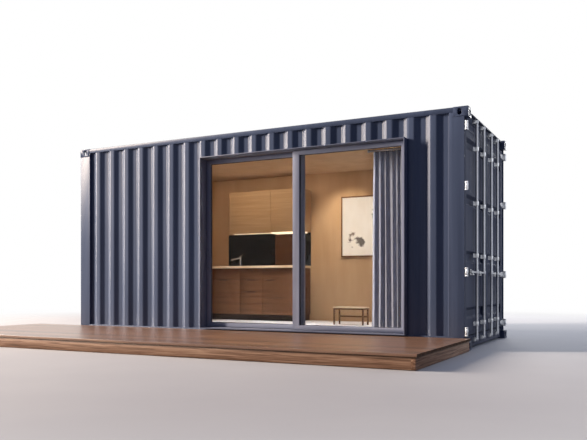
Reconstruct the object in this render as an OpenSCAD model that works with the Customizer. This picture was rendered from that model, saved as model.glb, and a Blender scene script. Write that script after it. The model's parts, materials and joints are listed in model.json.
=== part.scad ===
// Steel container cabin with a glazed front, cargo doors at its right-hand end and a timber deck.
// Origin at the middle of the container's base, x along its length, y towards its back, z up.

/* [Container] */
// Length over the corner castings
box_l = 6058; // [6000:1:6100]
// Width over the corner castings
box_w = 2438; // [2420:1:2450]
// Height over the corner castings
box_h = 2896; // [2880:1:2900]
// Length of a corner casting
cast_l = 178; // [170:1:180]
// Width of a corner casting
cast_w = 162; // [155:1:165]
// Height of a corner casting
cast_h = 118; // [110:1:120]
// Lock slots, middle to middle along the container
slot_gap_l = 5853; // [5800:1:5880]
// Lock slots, middle to middle across the container
slot_gap_w = 2259; // [2240:1:2270]

/* [Steel sheets] */
// Thickness of the wall and roof sheet
sheet_t = 2; // [1.6:0.2:4]
// One whole fold of the long walls
wall_pitch = 278; // [270:1:290]
// Depth of the folds in the long walls
wall_fold = 36; // [25:1:40]
// Depth of the folds in the blind end
end_fold = 45.6; // [30:0.2:48]
// Depth of the folds in the roof
roof_fold = 20; // [10:1:22]
// Thickness of the formed post and rail plates
plate_t = 6; // [4:0.5:8]

/* [Glass door] */
// Left-hand face of the surround, from the blind end
port_from = 2310; // [2300:1:2320]
// Right-hand face of the surround, from the blind end
port_to = 5310; // [5300:1:5320]
// Top of the surround above the ground
port_top = 2580; // [2570:1:2600]
// How far the surround stands out from the wall
port_out = 90; // [60:1:110]
// Plate thickness of the surround
port_t = 12; // [8:1:15]
// Front-to-back depth of a sash
sash_d = 52; // [46:1:54]
// Width of a sash stile
stile_w = 70; // [50:1:80]
// Thickness of the sealed glass unit
glass_t = 24; // [18:1:28]

/* [Cargo doors] */
// Lower edge of the leaves
leaf_bottom = 175; // [172:1:180]
// Upper edge of the leaves
leaf_top = 2757; // [2750:1:2760]
// Thickness of a leaf
leaf_t = 50; // [44:1:52]
// Radius of a lock bar
bar_r = 17; // [14:0.5:17]
// Inner lock bars, from the middle of the end
inner_bar = 235; // [225:1:250]
// Outer lock bars, from the middle of the end
outer_bar = 645; // [630:1:660]
// Height of the lock handles
handle_z = 940; // [900:1:1000]
// Length of a lock handle
handle_l = 300; // [250:1:320]

/* [Room] */
// Top of the finished floor
floor_z = 190; // [185:1:195]
// Underside of the ceiling
ceiling_z = 2630; // [2600:1:2650]
// Thickness of the wall and ceiling boards
board_t = 15; // [9:1:18]

/* [Kitchen] */
// Left-hand end of the units, from the blind end
kitchen_from = 1130; // [900:10:1200]
// Right-hand end of the units, from the blind end
kitchen_to = 2880; // [2860:10:2950]
// Face of the base units, from the container's front
kitchen_face = 1830; // [1780:5:1850]
// Top of the worktop
worktop_z = 1100; // [1060:1:1130]
// Underside of the wall cabinets
cabinet_z = 1660; // [1600:5:1700]

/* [Deck] */
// Left-hand end of the deck, from the blind end
deck_from = -885; // [-1200:5:-200]
// Right-hand end of the deck, from the blind end
deck_to = 6090; // [6060:5:6100]
// Depth of the deck in front of the container
deck_d = 2110; // [1800:5:2400]
// Top of the deck
deck_z = 155; // [145:1:158]
// Number of boards
deck_boards_n = 15; // [12:1:18]

/* [Hidden] */
$fn = 48;
slack = 1; // overrun of a cutting shape past the face it cuts

face_set = 3;     // posts and rails stand this far inside the castings' faces
sheet_set = 5;    // and the sheets' outer flats this far
rail_low = 12;    // underside of the bottom side rails
rail_top = 170;   // top of the bottom side rails
rail_t = 4.5;
top_rail = 60;    // square top rails
top_rail_z = 2830;
roof_z = top_rail_z + top_rail;
blind_post = 190; // width of the blind-end posts on the long sides
door_post = 228;  // and of the door-end posts
post_return = 48; // folded edge that a wall sheet meets

// A sheet's folds: middle of an outer flat, pitch, outer flat, slope, depth
wall_folds = [635, wall_pitch, 72, 68, wall_fold];
end_folds = [0, 250, 110, 18, end_fold];
roof_folds = [cast_l + 30, (box_l - 2 * cast_l - 60) / 27, 91, 13.5, roof_fold];
leaf_folds = [96.5, 687, 545, 36, 36];

floor_low = 20;      // underside of the cross members
ply_t = 28;          // floor plywood on the cross members
member_w = 45;
member_t = 4;
members = 18;
first_member = 260;
last_member = box_l - 330;
front_lining = 110;  // room boards, from the container's front
back_lining = 2330;
blind_lining = 100;
room_end = 180;      // the room boards stop this far from the door end

port_back = 150;     // back edge of the surround, from the container's front
fixed_y = -5;        // front of the fixed sash
slide_y = 78;        // front of the sliding sash
sash_low = 194;
sash_high = 2555;
meet_from = 3740;    // left-hand edge of the fixed sash
meet_stile = 102;    // its wide stile there
meet_to = 3865;      // right-hand edge of the sliding sash
slide_from = port_from + port_t + 5;
low_rail = 58;       // visible height of the sash rails
lead_stile = 57;

hinge_in = 22;       // hinge pins, from the end face and from the side face
knuckle_r = 18;
pin_r = 8;
knuckle_h = 69;
lug_t = 16;
hinge_zs = [230, 936, 1957, 2671];
leaf_set = 60;       // outer face of the leaves, from the end face
leaf_edge = 70;      // hinge-side edge of a leaf, from the side face
leaf_mid = 10;       // free edge of a leaf, from the middle of the end
frame_w = 100;       // leaf frame members
strap_t = 12;
strap_to = 222;
bar_in = 25;         // lock bar axes, from the end face
bar_low = 80;
bar_high = 2840;
cam_r = 36;
cam_nose = 12;
cam_zs = [105, 2815];
cam_h = 30;
handle_t = 12;
guide_zs = [300, 1150, 1800, 2480];
sill_set = 68;       // face of the sill and header, from the end face

deck_board_t = 28;
deck_lip = 14;       // overhang of the boards past the fascia
deck_back = 10;      // gap between the deck and the container
side_board = 45;
front_board = 25;
joist_w = 45;

paint = "#3c4250";
zinc = "#b9bcc0";

// Places, as distances from the container's faces
function blind(d) = d - box_l / 2;
function door(d) = box_l / 2 - d;
function front(d) = d - box_w / 2;

// Folded sheet: depth at u, and the outline of the sheet between two ends
function off_crest(u, f) = (u - f[0]) - f[1] * round((u - f[0]) / f[1]);
function fold_depth(u, f) =
    let (d = abs(off_crest(u, f)))
    d <= f[2] / 2 ? 0 : d >= f[2] / 2 + f[3] ? f[4] : f[4] * (d - f[2] / 2) / f[3];
function fold_corners(f, from, to) = [
    for (k = [floor((from - f[0]) / f[1]) : ceil((to - f[0]) / f[1])])
        for (c = [-f[2] / 2 - f[3], -f[2] / 2, f[2] / 2, f[2] / 2 + f[3]])
            let (u = f[0] + k * f[1] + c) if (u > from && u < to) u
];
function sheet_outline(f, from, to, t) =
    let (inner = fold_corners(f, from, to),
         shift = t * tan(atan2(f[4], f[3]) / 2),
         us = concat([from], inner, [to]),
         backs = concat([from], [for (u = inner) u - shift * sign(off_crest(u, f))], [to]),
         n = len(us) - 1)
    concat([for (i = [0 : n]) [us[i], fold_depth(us[i], f)]],
           [for (i = [n : -1 : 0]) [backs[i], fold_depth(us[i], f) + t]]);

// Box between two corners
module block(low, high) {
    translate(low) cube(high - low);
}

// Outline in x and z, drawn out along y from one place to another
module along_y(from, to) {
    translate([0, to, 0]) rotate([90, 0, 0]) linear_extrude(to - from) children();
}

// The same shape at the front and, mirrored, at the back
module both_sides() {
    children();
    mirror([0, 1, 0]) children();
}

// The same shape at the blind end and, mirrored, at the door end
module both_ends() {
    children();
    mirror([1, 0, 0]) children();
}

// Upright slotted hole through a casting's wall
module oblong(length, width, depth) {
    linear_extrude(depth, center = true) {
        for (s = [-1, 1]) translate([s * (length - width) / 2, 0]) circle(d = width);
        square([length - width, width], center = true);
    }
}

// Hollow casting with its lock slot down, one aperture in the end and one in the side
module casting() {
    slot_x = (box_l - slot_gap_l) / 2;
    slot_y = (box_w - slot_gap_w) / 2;
    floor_t = 28;
    wall_t = 16;
    difference() {
        cube([cast_l, cast_w, cast_h]);
        block([wall_t, wall_t, floor_t], [cast_l - wall_t, cast_w - wall_t, cast_h - wall_t]);
        translate([slot_x, slot_y, 0]) oblong(124, 63.5, 4 * floor_t);
        translate([slot_x, 0, cast_h / 2]) rotate([90, 90, 0]) oblong(79.5, 51, 3 * wall_t);
        translate([0, slot_y, cast_h / 2]) rotate([0, 90, 0]) oblong(79.5, 63.5, 3 * wall_t);
    }
}

module castings_base() {
    color(paint) both_ends() both_sides() translate([blind(0), front(0), 0]) casting();
}

module castings_top() {
    color(paint) both_ends() both_sides()
        translate([blind(0), front(0), box_h]) mirror([0, 0, 1]) casting();
}

// Post between its castings, with its wide edge running past them from rail to rail
module post(edge) {
    difference() {
        translate([0, 0, cast_h]) linear_extrude(top_rail_z - cast_h) children();
        block([-slack, -slack, box_h - cast_h], [cast_l, cast_w, box_h]);
        block([cast_l, -slack, 0], [edge + slack, cast_w, rail_top]);
    }
}

module blind_end_posts() {
    far = 150;
    a = face_set;
    t = plate_t;
    color(paint) both_sides() translate([blind(0), front(0), 0]) post(blind_post) {
        polygon([
            [a, a], [blind_post, a], [blind_post, post_return], [blind_post - t, post_return],
            [blind_post - t, a + t], [a + t, a + t], [a + t, far - t], [54, far - t], [54, far], [a, far]
        ]);
    }
}

// Outer plate with a hollow inner channel; the plate's end leaves room for the hinge pins
module door_end_posts() {
    tip = 46;
    face = 66;
    channel = 113;
    inside = 49;
    wall_t = 12;
    a = face_set;
    t = plate_t;
    color(paint) both_sides() translate([door(0), front(0), 0]) mirror([1, 0, 0]) post(door_post) {
        difference() {
            polygon([
                [tip, a], [door_post, a], [door_post, post_return], [door_post - t, post_return],
                [door_post - t, a + t], [face + channel, a + t], [face + channel, inside],
                [face, inside], [face, a + t], [tip, a + t]
            ]);
            translate([face + wall_t, a + t]) square([channel - 2 * wall_t, inside - a - t - wall_t]);
        }
    }
}

module bottom_side_rails() {
    deep = 48;
    foot = 30;
    a = face_set;
    t = rail_t;
    color(paint) both_sides() translate([blind(cast_l), front(0), 0])
        rotate([90, 0, 90]) linear_extrude(box_l - 2 * cast_l) polygon([
            [a, rail_low], [a + foot, rail_low], [a + foot, rail_low + t], [a + t, rail_low + t],
            [a + t, rail_top - t], [a + deep, rail_top - t], [a + deep, rail_top], [a, rail_top]
        ]);
}

// Square tube outline with its outer corner at the origin
module square_tube(size, t) {
    difference() {
        square(size);
        translate([t, t]) square(size - 2 * t);
    }
}

module top_side_rails() {
    color(paint) both_sides() translate([blind(cast_l), front(face_set), top_rail_z])
        rotate([90, 0, 90]) linear_extrude(box_l - 2 * cast_l) square_tube(top_rail, 3);
}

module blind_end_rails() {
    deep = 60;
    a = face_set;
    t = rail_t;
    color(paint) translate([blind(0), 0, 0]) {
        along_y(front(cast_w), -front(cast_w)) {
            polygon([
                [a, rail_low], [a + deep, rail_low], [a + deep, rail_low + t], [a + t, rail_low + t],
                [a + t, rail_top - t], [a + deep, rail_top - t], [a + deep, rail_top], [a, rail_top]
            ]);
            translate([a, top_rail_z]) square_tube(top_rail, 3);
        }
    }
}

// Channel across the door end, open towards the room
module end_channel(low, high) {
    t = plate_t;
    deep = cast_l;
    translate([door(0), 0, 0]) mirror([1, 0, 0]) along_y(front(cast_w), -front(cast_w)) polygon([
        [sill_set, low], [deep, low], [deep, low + t], [sill_set + t, low + t],
        [sill_set + t, high - t], [deep, high - t], [deep, high], [sill_set, high]
    ]);
}

// Header with a rain gutter over the doors
module door_header() {
    gutter_z = 2860;
    gutter_t = 4;
    out = 34;
    lip = 16;
    end = 180;
    color(paint) {
        end_channel(2772, roof_z);
        translate([door(0), 0, gutter_z]) mirror([1, 0, 0]) along_y(front(end), -front(end)) polygon([
            [out, 0], [sill_set + slack, 0], [sill_set + slack, gutter_t], [out + gutter_t, gutter_t],
            [out + gutter_t, lip], [out, lip]
        ]);
    }
}

module door_sill() {
    color(paint) end_channel(floor_low, 160);
}

module floor_cross_members() {
    high = rail_top - ply_t;
    side = face_set + rail_t;
    step = (last_member - first_member) / (members - 1);
    w = member_w;
    t = member_t;
    color(paint) for (i = [0 : members - 1]) translate([blind(first_member + i * step), 0, 0])
        along_y(front(side), -front(side)) polygon([
            [0, floor_low], [w, floor_low], [w, floor_low + t], [t, floor_low + t],
            [t, high - t], [w, high - t], [w, high], [0, high]
        ]);
}

module floor_plywood() {
    side = 52;
    end = 66;
    color("#8a7558")
        block([blind(end), front(side), rail_top - ply_t], [door(room_end), -front(side), rail_top]);
}

module room_floor() {
    color("#d9d4cc") difference() {
        block([blind(blind_lining + board_t), front(front_lining + board_t), rail_top],
              [door(120), front(back_lining), floor_z]);
        block([blind(port_from), front(0), rail_top - slack],
              [blind(port_to), front(port_back), floor_z + slack]);
    }
}

// Folded wall sheet between two places along the front
module front_sheet(from, to, low, high) {
    translate([blind(0), front(sheet_set), low]) linear_extrude(high - low)
        polygon(sheet_outline(wall_folds, from, to, sheet_t));
}

module front_wall_left() {
    color(paint) front_sheet(blind_post, port_from, rail_top, top_rail_z);
}

module front_wall_right() {
    color(paint) front_sheet(port_to, box_l - door_post, rail_top, top_rail_z);
}

module front_wall_head() {
    color(paint) front_sheet(port_from, port_to, port_top, top_rail_z);
}

module back_wall() {
    color(paint) mirror([0, 1, 0]) front_sheet(blind_post, box_l - door_post, rail_top, top_rail_z);
}

// Folded end sheet, notched round the upper castings
module blind_end_wall() {
    half = box_w / 2 - 150;
    color(paint) difference() {
        translate([blind(sheet_set), 0, rail_top]) linear_extrude(top_rail_z - rail_top)
            mirror([1, -1, 0]) polygon(sheet_outline(end_folds, -half, half, sheet_t));
        both_sides() block([blind(0), front(0), box_h - cast_h], [blind(cast_l), front(cast_w), box_h]);
    }
}

// Pressed sheet between the top rails, with plain edges lying on the rails and between the castings
module roof_sheet() {
    lip = face_set + top_rail;
    color(paint) {
        translate([blind(0), 0, roof_z + sheet_t]) mirror([0, 0, 1]) along_y(front(lip), -front(lip))
            polygon(sheet_outline(roof_folds, cast_l, box_l - cast_l, sheet_t));
        both_sides()
            block([blind(cast_l), front(face_set), roof_z], [door(cast_l), front(lip), roof_z + sheet_t]);
        block([blind(face_set), front(cast_w), roof_z], [blind(cast_l), -front(cast_w), roof_z + sheet_t]);
        block([door(cast_l), front(cast_w), roof_z], [door(sill_set), -front(cast_w), roof_z + sheet_t]);
    }
}

// Ceiling boards, with the upright that closes the space over them behind the cargo doors
module ceiling() {
    color("#c9a46a") {
        block([blind(blind_lining), front(front_lining), ceiling_z],
              [door(room_end), front(back_lining + board_t), ceiling_z + board_t]);
        block([door(room_end + board_t), front(front_lining), ceiling_z + board_t],
              [door(room_end), front(back_lining + board_t), 2772]);
    }
}

// Board that closes the space behind a lining at the door end
module lining_return() {
    block([door(room_end + board_t), front(49), rail_top], [door(room_end), front(front_lining), ceiling_z]);
}

module back_lining_board() {
    color("#b98d4c") {
        block([blind(blind_lining + board_t), front(back_lining), rail_top],
              [door(room_end), front(back_lining + board_t), ceiling_z]);
        block([door(room_end + board_t), front(back_lining + board_t), rail_top],
              [door(room_end), -front(49), ceiling_z]);
    }
}

module blind_end_lining() {
    color("#b98d4c") block([blind(blind_lining), front(front_lining), rail_top],
                           [blind(blind_lining + board_t), front(back_lining + board_t), ceiling_z]);
}

module front_lining_boards() {
    y0 = front(front_lining);
    y1 = front(front_lining + board_t);
    color("#b98d4c") {
        block([blind(blind_lining + board_t), y0, rail_top], [blind(port_from), y1, ceiling_z]);
        block([blind(port_from), y0, port_top], [blind(port_to), y1, ceiling_z]);
        block([blind(port_to), y0, rail_top], [door(room_end), y1, ceiling_z]);
        lining_return();
    }
}

module door_surround() {
    t = port_t;
    color("#2b303c") difference() {
        block([blind(port_from), front(-port_out), rail_top], [blind(port_to), front(port_back), port_top]);
        block([blind(port_from + t), front(-port_out - slack), rail_top + t],
              [blind(port_to - t), front(port_back + slack), port_top - t]);
    }
}

// Threshold and head plates with a raised rib under and over the middle of each sash
module slide_tracks() {
    low = rail_top + port_t;
    high = port_top - port_t;
    x0 = blind(port_from + port_t);
    x1 = blind(port_to - port_t);
    rib = 8;
    color("#30343d") {
        block([x0, front(-25), low], [x1, front(140), low + 4]);
        block([x0, front(-25), high - 5], [x1, front(140), high]);
        for (y = [fixed_y, slide_y])
            block([x0, front(y + (sash_d - rib) / 2), low + 4], [x1, front(y + (sash_d + rib) / 2), low + 7]);
    }
}

// Rectangular sash with its stiles and rails chamfered towards the glass
module sash(from, to, face, left, right) {
    bevel = 6;
    x0 = blind(from);
    x1 = blind(to);
    difference() {
        block([x0, front(face), sash_low], [x1, front(face + sash_d), sash_high]);
        block([x0 + left, front(face - slack), sash_low + low_rail],
              [x1 - right, front(face + sash_d + slack), sash_high - low_rail]);
        block([x0 + left - bevel, front(face - slack), sash_low + low_rail - bevel],
              [x1 - right + bevel, front(face + bevel), sash_high - low_rail + bevel]);
    }
}

module pane(from, to, face) {
    y = front(face + (sash_d - glass_t) / 2);
    block([blind(from), y, sash_low + low_rail], [blind(to), y + glass_t, sash_high - low_rail]);
}

module fixed_sash() {
    color("#2b303c") sash(meet_from, port_to - port_t, fixed_y, meet_stile, lead_stile);
}

module fixed_glass() {
    color("#a8c0cc", 0.4) pane(meet_from + meet_stile, port_to - port_t - lead_stile, fixed_y);
}

module sliding_sash() {
    color("#2b303c") sash(slide_from, meet_to, slide_y, lead_stile, stile_w);
}

module sliding_glass() {
    color("#a8c0cc", 0.4) pane(slide_from + lead_stile, meet_to - stile_w, slide_y);
}

// Upright pull on two feet
module sash_handle() {
    x = blind(slide_from + lead_stile / 2);
    out = 30;
    color("#2b303c") {
        translate([x, front(slide_y - out), 1000]) cylinder(r = 7, h = 300);
        for (z = [1030, 1270]) translate([x, front(slide_y), z]) rotate([90, 0, 0]) cylinder(r = 6, h = out);
    }
}

// Two lugs and the pin between them at one hinge
module hinge_lug() {
    gap = knuckle_h + 4;
    post_face = 66;
    for (s = [-1, 1]) translate([0, 0, s * (gap + lug_t) / 2]) linear_extrude(lug_t, center = true) {
        translate([door(hinge_in), front(hinge_in)]) circle(r = knuckle_r);
        translate([door(post_face), front(face_set + plate_t)]) square([post_face - hinge_in, 26]);
    }
    translate([door(hinge_in), front(hinge_in), 0]) cylinder(r = pin_r, h = gap + slack, center = true);
}

module hinge_lugs() {
    color(zinc) both_sides() for (z = hinge_zs) translate([0, 0, z]) hinge_lug();
}

// Two lugs on the sill or header, one each side of a cam and clear of its turn
module keeper(y, z) {
    lug = 12;
    half = 25;
    out = 20;
    slope = 13;
    for (near = [27, -42 - lug])
        translate([door(0), y, z]) mirror([1, 0, 0]) along_y(near, near + lug) polygon([
            [sill_set, -half], [out + slope, -half], [out, -half + slope], [out, half - slope],
            [out + slope, half], [sill_set, half]
        ]);
}

module lock_keepers() {
    color(zinc) both_sides() for (y = [outer_bar, inner_bar]) for (z = cam_zs) keeper(-y, z);
}

// Board frame and pressed sheet of the leaf nearest the front
module leaf() {
    y0 = front(leaf_edge);
    y1 = -leaf_mid;
    f = frame_w;
    difference() {
        block([door(leaf_set + leaf_t), y0, leaf_bottom], [door(leaf_set), y1, leaf_top]);
        block([door(leaf_set + leaf_t + slack), y0 + f, leaf_bottom + f],
              [door(leaf_set - slack), y1 - f, leaf_top - f]);
    }
    translate([door(leaf_set + 4), 0, 0]) along_y(y0 + f, y1 - f)
        mirror([1, -1, 0]) mirror([0, 1, 0])
            polygon(sheet_outline(leaf_folds, leaf_bottom + f, leaf_top - f, sheet_t));
}

module front_leaf() {
    color(paint) leaf();
}

module back_leaf() {
    color(paint) mirror([0, 1, 0]) leaf();
}

// Seal round a leaf's edges
module gasket() {
    x0 = door(100);
    x1 = door(76);
    difference() {
        block([x0, front(56), leaf_bottom - 9], [x1, -leaf_mid + 4, leaf_top + 9]);
        block([x0 - slack, front(leaf_edge), leaf_bottom], [x1 + slack, -leaf_mid, leaf_top]);
    }
}

module front_leaf_gasket() {
    color("#17181a") gasket();
}

module back_leaf_gasket() {
    color("#17181a") mirror([0, 1, 0]) gasket();
}

// Outline of a hinge strap, drawn on the leaf: full height at the knuckle, then narrowing to a round tip
module strap_outline() {
    half = knuckle_h / 2;
    tip = 20;
    taper = 110;
    far = front(strap_to - tip);
    polygon([
        [front(0), -half], [front(taper), -half], [far, -tip],
        [far, tip], [front(taper), half], [front(0), half]
    ]);
    translate([far, 0]) circle(r = tip);
}

// Hinge strap with its knuckle, lying on the leaf
module strap() {
    near = 15;
    intersection() {
        linear_extrude(knuckle_h, center = true) difference() {
            union() {
                translate([door(leaf_set), front(near)]) square([strap_t, strap_to - near]);
                translate([door(leaf_set), front(near)]) square([leaf_set - hinge_in, 21]);
                translate([door(hinge_in), front(hinge_in)]) circle(r = knuckle_r);
            }
            translate([door(hinge_in), front(hinge_in)]) circle(r = pin_r + 1);
        }
        translate([door(leaf_set), 0, 0]) rotate([90, 0, 90]) linear_extrude(leaf_set) strap_outline();
    }
}

// Saddle that holds a lock bar to the leaf
module guide() {
    bore = bar_r + 1;
    wall = 6;
    linear_extrude(50, center = true) difference() {
        union() {
            circle(r = bore + wall);
            translate([bar_in - leaf_set, -bore - wall]) square([leaf_set - bar_in, 2 * (bore + wall)]);
        }
        circle(r = bore);
    }
    for (s = [-1, 1]) block([bar_in - leaf_set, s * 37 - 15, -25], [bar_in - leaf_set + 6, s * 37 + 15, 25]);
}

// Catch that the end of a handle lies in
module catch_plate() {
    block([bar_in - leaf_set, -30, -36], [bar_in - leaf_set + 8, 30, 36]);
    block([bar_in - leaf_set, -20, -36], [bar_in - 14, 20, -24]);
}

module leaf_fittings() {
    for (z = hinge_zs) translate([0, 0, z]) strap();
    for (y = [-outer_bar, -inner_bar]) translate([door(bar_in), y, 0]) {
        for (z = guide_zs) translate([0, 0, z]) guide();
        translate([0, -210, handle_z]) catch_plate();
    }
}

module front_leaf_fittings() {
    color(zinc) leaf_fittings();
}

module back_leaf_fittings() {
    color(zinc) mirror([0, 1, 0]) leaf_fittings();
}

// Collar with a round-ended nose that locks between two keeper lugs
module cam() {
    linear_extrude(cam_h, center = true) {
        circle(r = bar_r + 5);
        translate([cam_nose - cam_r, -cam_nose]) square([cam_r - cam_nose, 2 * cam_nose]);
        translate([cam_nose - cam_r, 0]) circle(r = cam_nose);
    }
}

// Flat handle, waisted behind its round-ended grip, with a hole for a padlock
module handle() {
    grip = 17;
    waist = 11;
    end = handle_l - grip;
    rotate([90, 0, 90]) linear_extrude(handle_t, center = true) difference() {
        union() {
            polygon([
                [0, -grip], [-70, -waist], [-170, -waist], [-205, -grip], [-end, -grip],
                [-end, grip], [-205, grip], [-170, waist], [-70, waist], [0, grip]
            ]);
            translate([-end, 0]) circle(r = grip);
        }
        translate([-end, 0]) circle(r = 7);
    }
}

// Round bar with a cam near each end and a flat handle towards the hinge side
module lock_bar(y) {
    hub_r = 23;
    hub_h = 44;
    translate([door(bar_in), y, 0]) {
        translate([0, 0, bar_low]) cylinder(r = bar_r, h = bar_high - bar_low);
        for (z = cam_zs) translate([0, 0, z]) cam();
        translate([0, 0, handle_z]) {
            cylinder(r = hub_r, h = hub_h, center = true);
            handle();
        }
    }
}

module lock_bar_1() {
    color(zinc) lock_bar(-outer_bar);
}

module lock_bar_2() {
    color(zinc) lock_bar(-inner_bar);
}

module lock_bar_3() {
    color(zinc) mirror([0, 1, 0]) lock_bar(-inner_bar);
}

module lock_bar_4() {
    color(zinc) mirror([0, 1, 0]) lock_bar(-outer_bar);
}

module deck_boards() {
    gap = 5;
    back = 8;
    pitch = (deck_d - back + gap) / deck_boards_n;
    color("#7d5843") for (i = [0 : deck_boards_n - 1])
        block([blind(deck_from), front(-deck_d + i * pitch), deck_z - deck_board_t],
              [blind(deck_to), front(-deck_d + (i + 1) * pitch - gap), deck_z]);
}

module deck_joists() {
    n = 15;
    end = deck_lip + side_board + 1;
    step = (deck_to - deck_from - 2 * end - joist_w) / (n - 1);
    color("#6a4c39") for (i = [0 : n - 1]) translate([blind(deck_from + end + i * step), 0, 0])
        block([0, front(-deck_d + deck_lip + front_board + 1), 0],
              [joist_w, front(-deck_back), deck_z - deck_board_t]);
}

// Thick side boards running through to the front, with the front board set between them
module deck_fascia() {
    low = 4;
    high = deck_z - deck_board_t;
    x0 = blind(deck_from + deck_lip);
    x1 = blind(deck_to - deck_lip);
    y0 = front(-deck_d + deck_lip);
    y1 = front(-deck_back);
    color("#6f4d3a") {
        block([x0 + side_board + 1, y0, low], [x1 - side_board - 1, y0 + front_board, high]);
        block([x0, y0, low], [x0 + side_board, y1, high]);
        block([x1 - side_board, y0, low], [x1, y1, high]);
    }
}

module kitchen_base() {
    x0 = blind(kitchen_from);
    x1 = blind(kitchen_to);
    y1 = front(back_lining);
    color("#8a6a42") {
        block([x0, front(kitchen_face + 20), floor_z + 100], [x1, y1, worktop_z - 40]);
        block([x0 + 18, front(kitchen_face + 60), floor_z], [x1 - 18, y1, floor_z + 100]);
    }
}

// Front with a finger slot, placed by the slot's middle and its upper edge
module kitchen_front(from, to, low, high, slot_middle, slot_high) {
    slot_w = 170;
    slot_h = 16;
    difference() {
        block([blind(from), front(kitchen_face), low], [blind(to), front(kitchen_face + 20), high]);
        block([blind(slot_middle - slot_w / 2), front(kitchen_face) - slack, slot_high - slot_h],
              [blind(slot_middle + slot_w / 2), front(kitchen_face + 20) + slack, slot_high]);
    }
}

// A wide unit and a narrower one with plain drawers above slotted fronts, the narrower one's split
// in two, and then a wide door of full height with its slot near its left-hand side
module kitchen_fronts() {
    gap = 4;
    low = floor_z + 103;
    high = worktop_z - 46;
    drawer = 868;
    middle = 674;
    door_slot = 2390;
    y = front(kitchen_face);
    edges = [kitchen_from, 1800, 2230, kitchen_to];
    rows = [[[low, drawer]], [[low, middle], [middle + gap, drawer]]];
    color("#9a754a") {
        for (i = [0, 1]) let (from = edges[i] + gap / 2, to = edges[i + 1] - gap / 2) {
            block([blind(from), y, drawer + gap], [blind(to), y + 20, high]);
            for (z = rows[i]) kitchen_front(from, to, z[0], z[1], (from + to) / 2, z[1] + slack);
        }
        kitchen_front(edges[2] + gap / 2, edges[3] - gap / 2, low, high, door_slot, drawer);
    }
}

module worktop() {
    over = 25;
    color("#e6e0d4") block([blind(kitchen_from - 10), front(kitchen_face - over), worktop_z - 40],
                           [blind(kitchen_to + 10), front(back_lining), worktop_z]);
}

// Two panels with the bare wall between them
module splashback() {
    panels = [[1270, 2210], [2600, kitchen_to + 10]];
    color("#1d1b1c") for (x = panels)
        block([blind(x[0]), front(back_lining - 10), worktop_z],
              [blind(x[1]), front(back_lining), cabinet_z]);
}

// Carcass with a wide flap and a narrower one
module wall_cabinets() {
    gap = 4;
    high = 700;
    face = 1980;
    edges = [1500, 2305, kitchen_to + 10];
    color("#a57f4c") {
        block([blind(edges[0]), front(face + 20), cabinet_z],
              [blind(edges[2]), front(back_lining), cabinet_z + high]);
        for (i = [0, 1])
            block([blind(edges[i] + gap / 2), front(face), cabinet_z],
                  [blind(edges[i + 1] - gap / 2), front(face + 20), cabinet_z + high]);
    }
}

// Straight mixer: rose, body, a spout that slopes down to its nozzle, and a lever on top
module tap() {
    body = 170;
    reach = 150;
    nozzle = 24;
    color("#c8c8c8") translate([blind(1566), front(2240), worktop_z]) {
        cylinder(r = 25, h = 10);
        cylinder(r = 15, h = body);
        translate([0, 0, body - slack]) cylinder(r = 17, h = 16);
        translate([0, 0, body - 20]) rotate([0, 0, -140]) rotate([0, 100, 0]) {
            cylinder(r = 10, h = reach);
            translate([0, 0, reach]) rotate([0, 80, 0])
                translate([0, 0, -12]) cylinder(r = 11, h = nozzle + 12);
        }
        translate([0, 0, body + 8]) rotate([0, 60, 0]) cylinder(r = 4, h = 70);
    }
}

module curtain_rail() {
    z = 2520;
    long = 610;
    color("#6b6b70") translate([blind(4690), front(300), z]) {
        rotate([0, 90, 0]) cylinder(r = 12, h = long);
        rotate([0, 90, 0]) cylinder(r = 20, h = 24);
        for (x = [70, 550]) translate([x, 0, 0]) cylinder(r = 6, h = ceiling_z - z);
    }
}

// Gathered cloth hanging in even folds
module curtain() {
    from = 4720;
    wide = 480;
    folds = 6;
    swing = 30;
    half = 16;
    steps = 72;
    function side(s) = [for (i = [0 : steps])
        [from + wide * i / steps, 300 + s * half + swing * sin(360 * folds * i / steps)]];
    back = side(1);
    low = floor_z + 15;
    high = 2505;
    color("#a9a7ab") translate([blind(0), front(0), low]) linear_extrude(high - low)
        polygon(concat(side(-1), [for (i = [steps : -1 : 0]) back[i]]));
}

module wall_picture() {
    x0 = blind(3450);
    x1 = blind(4150);
    y = front(back_lining);
    color("#e8e4dc") difference() {
        block([x0, y - 30, 1235], [x1, y, 2220]);
        block([x0 + 20, y - 30 - slack, 1255], [x1 - 20, y - 20, 2200]);
    }
}

// Narrow table on four thin legs, with a rail under its top and a stretcher at the back
module side_table() {
    x0 = blind(3745);
    x1 = blind(4235);
    y0 = front(1300);
    y1 = front(1530);
    leg = 22;
    set = 6;
    top = 455;
    top_t = 18;
    rail = 22;
    stretcher = 310;
    far = y1 - set - leg;
    color("#e0d8cc") {
        block([x0, y0, top - top_t], [x1, y1, top]);
        difference() {
            block([x0 + set, y0 + set, top - top_t - rail], [x1 - set, y1 - set, top - top_t + slack]);
            block([x0 + set + leg, y0 + set + leg, 0], [x1 - set - leg, far, top]);
        }
        for (x = [x0 + set, x1 - set - leg]) for (y = [y0 + set, far])
            block([x, y, floor_z], [x + leg, y + leg, top - top_t]);
        block([x0 + set, far, stretcher - leg / 2], [x1 - set, far + leg, stretcher + leg / 2]);
    }
}

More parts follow.
